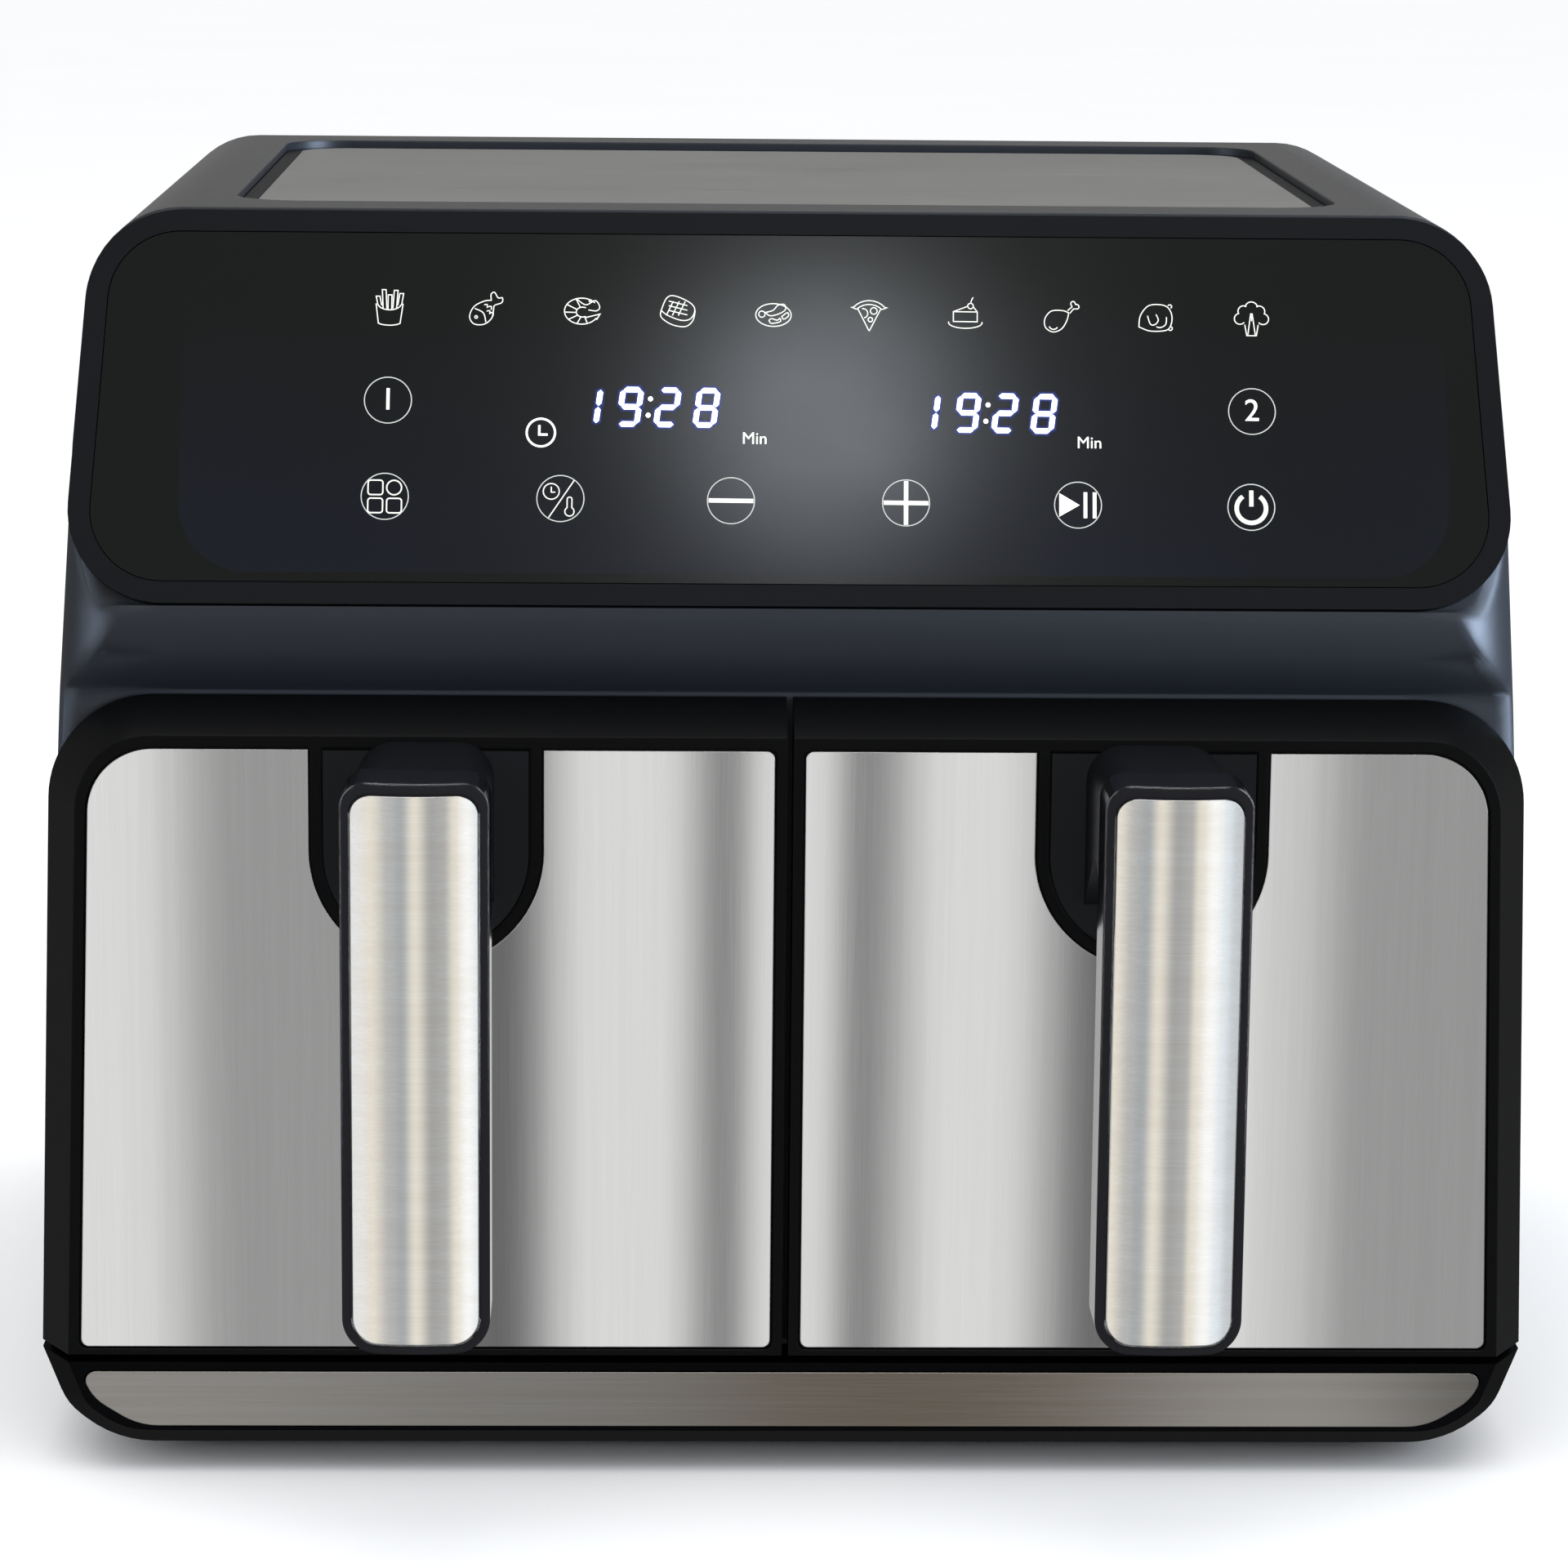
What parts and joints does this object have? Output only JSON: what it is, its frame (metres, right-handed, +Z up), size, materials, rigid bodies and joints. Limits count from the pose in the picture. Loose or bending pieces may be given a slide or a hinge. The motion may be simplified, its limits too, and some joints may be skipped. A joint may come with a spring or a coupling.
{
  "type": "air fryer",
  "caption": "Countertop dual-drawer air fryer with side-by-side pull-out drawers, upright bar handles, a leaning touch panel and a steel lid insert.",
  "frame": {"origin": "middle of the footprint on the table", "axes": "+X to the user's right, +Y towards the back, +Z up; the drawers face -Y"},
  "size_m": [0.381, 0.3904, 0.3197],
  "materials": {
    "matte_black": "fine matte moulded finish",
    "satin_black": "satin moulded finish",
    "bezel_black": "smooth satin finish",
    "gloss_black": "high gloss",
    "panel_glass": "gloss black back-printed glass",
    "drawer_steel": "vertical brushed, clear coated",
    "handle_steel": "fine horizontal brushed, bright",
    "trim_steel": "fine brushed, darkened",
    "lid_steel": "lengthways brushed",
    "nonstick": "dark grey non-stick coating",
    "liner_metal": "plain aluminised sheet",
    "element_steel": "heat-darkened",
    "motor_steel": "zinc plated",
    "fan_aluminium": "plain pressed",
    "screw_steel": "plated",
    "rubber": "moulded",
    "silicone": "moulded silicone",
    "circuit_board": "solder resist",
    "display_window": "smoked diffuser"
  },
  "bodies": {
    "housing": {"base_tray": "matte_black", "base_trim_strip": "trim_steel", "foot_front_left": "rubber", "foot_front_right": "rubber", "foot_rear_left": "rubber", "foot_rear_right": "rubber", "outer_shell": "matte_black", "top_insert_tray": "satin_black", "top_steel_plate": "lid_steel", "control_bezel": "bezel_black", "control_glass": "panel_glass", "touch_board": "circuit_board", "left_display_module": "display_window", "right_display_module": "display_window", "rear_cover": "matte_black", "cord_gland": "satin_black", "rear_cover_screws": "screw_steel", "power_board": "circuit_board", "left_cavity_liner": "liner_metal", "left_heating_element": "element_steel", "left_heater_guard": "screw_steel", "left_temperature_sensor": "screw_steel", "left_fan_motor": "motor_steel", "left_motor_bracket": "liner_metal", "left_drawer_switch": "satin_black", "right_cavity_liner": "liner_metal", "right_heating_element": "element_steel", "right_heater_guard": "screw_steel", "right_temperature_sensor": "screw_steel", "right_fan_motor": "motor_steel", "right_motor_bracket": "liner_metal", "right_drawer_switch": "satin_black"},
    "left_drawer": {"left_drawer_front": "matte_black", "left_steel_panel": "drawer_steel", "left_handle_mount": "satin_black", "left_handle_frame": "gloss_black", "left_handle_insert": "handle_steel", "left_handle_screws": "screw_steel", "left_pan": "nonstick"},
    "left_crisper": {"left_crisper_plate": "nonstick", "left_plate_bumpers": "silicone"},
    "left_fan": {"left_motor_shaft": "screw_steel", "left_convection_fan": "fan_aluminium", "left_cooling_fan": "fan_aluminium"},
    "left_plunger": {"left_switch_plunger": "screw_steel"},
    "right_drawer": {"right_drawer_front": "matte_black", "right_steel_panel": "drawer_steel", "right_handle_mount": "satin_black", "right_handle_frame": "gloss_black", "right_handle_insert": "handle_steel", "right_handle_screws": "screw_steel", "right_pan": "nonstick"},
    "right_crisper": {"right_crisper_plate": "nonstick", "right_plate_bumpers": "silicone"},
    "right_fan": {"right_motor_shaft": "screw_steel", "right_convection_fan": "fan_aluminium", "right_cooling_fan": "fan_aluminium"},
    "right_plunger": {"right_switch_plunger": "screw_steel"}
  },
  "joints": [
    {"name": "left_drawer_slide", "type": "slide", "parent": "housing", "child": "left_drawer", "axis": [0, -1, 0], "range_m": [0, 0.225]},
    {"name": "left_crisper_lift", "type": "slide", "parent": "left_drawer", "child": "left_crisper", "axis": [0, 0, 1], "range_m": [0, 0.1]},
    {"name": "left_fan_spin", "type": "hinge", "parent": "housing", "child": "left_fan", "pos_m": [-0.0915, 0.01015, 0.21], "axis": [0, 0, 1], "continuous": true},
    {"name": "left_switch_travel", "type": "slide", "parent": "housing", "child": "left_plunger", "axis": [0, 1, 0], "range_m": [0, 0.002], "stiffness_N_per_m": 300},
    {"name": "right_drawer_slide", "type": "slide", "parent": "housing", "child": "right_drawer", "axis": [0, -1, 0], "range_m": [0, 0.225]},
    {"name": "right_crisper_lift", "type": "slide", "parent": "right_drawer", "child": "right_crisper", "axis": [0, 0, 1], "range_m": [0, 0.1]},
    {"name": "right_fan_spin", "type": "hinge", "parent": "housing", "child": "right_fan", "pos_m": [0.0915, 0.01015, 0.21], "axis": [0, 0, 1], "continuous": true},
    {"name": "right_switch_travel", "type": "slide", "parent": "housing", "child": "right_plunger", "axis": [0, 1, 0], "range_m": [0, 0.002], "stiffness_N_per_m": 300}
  ]
}
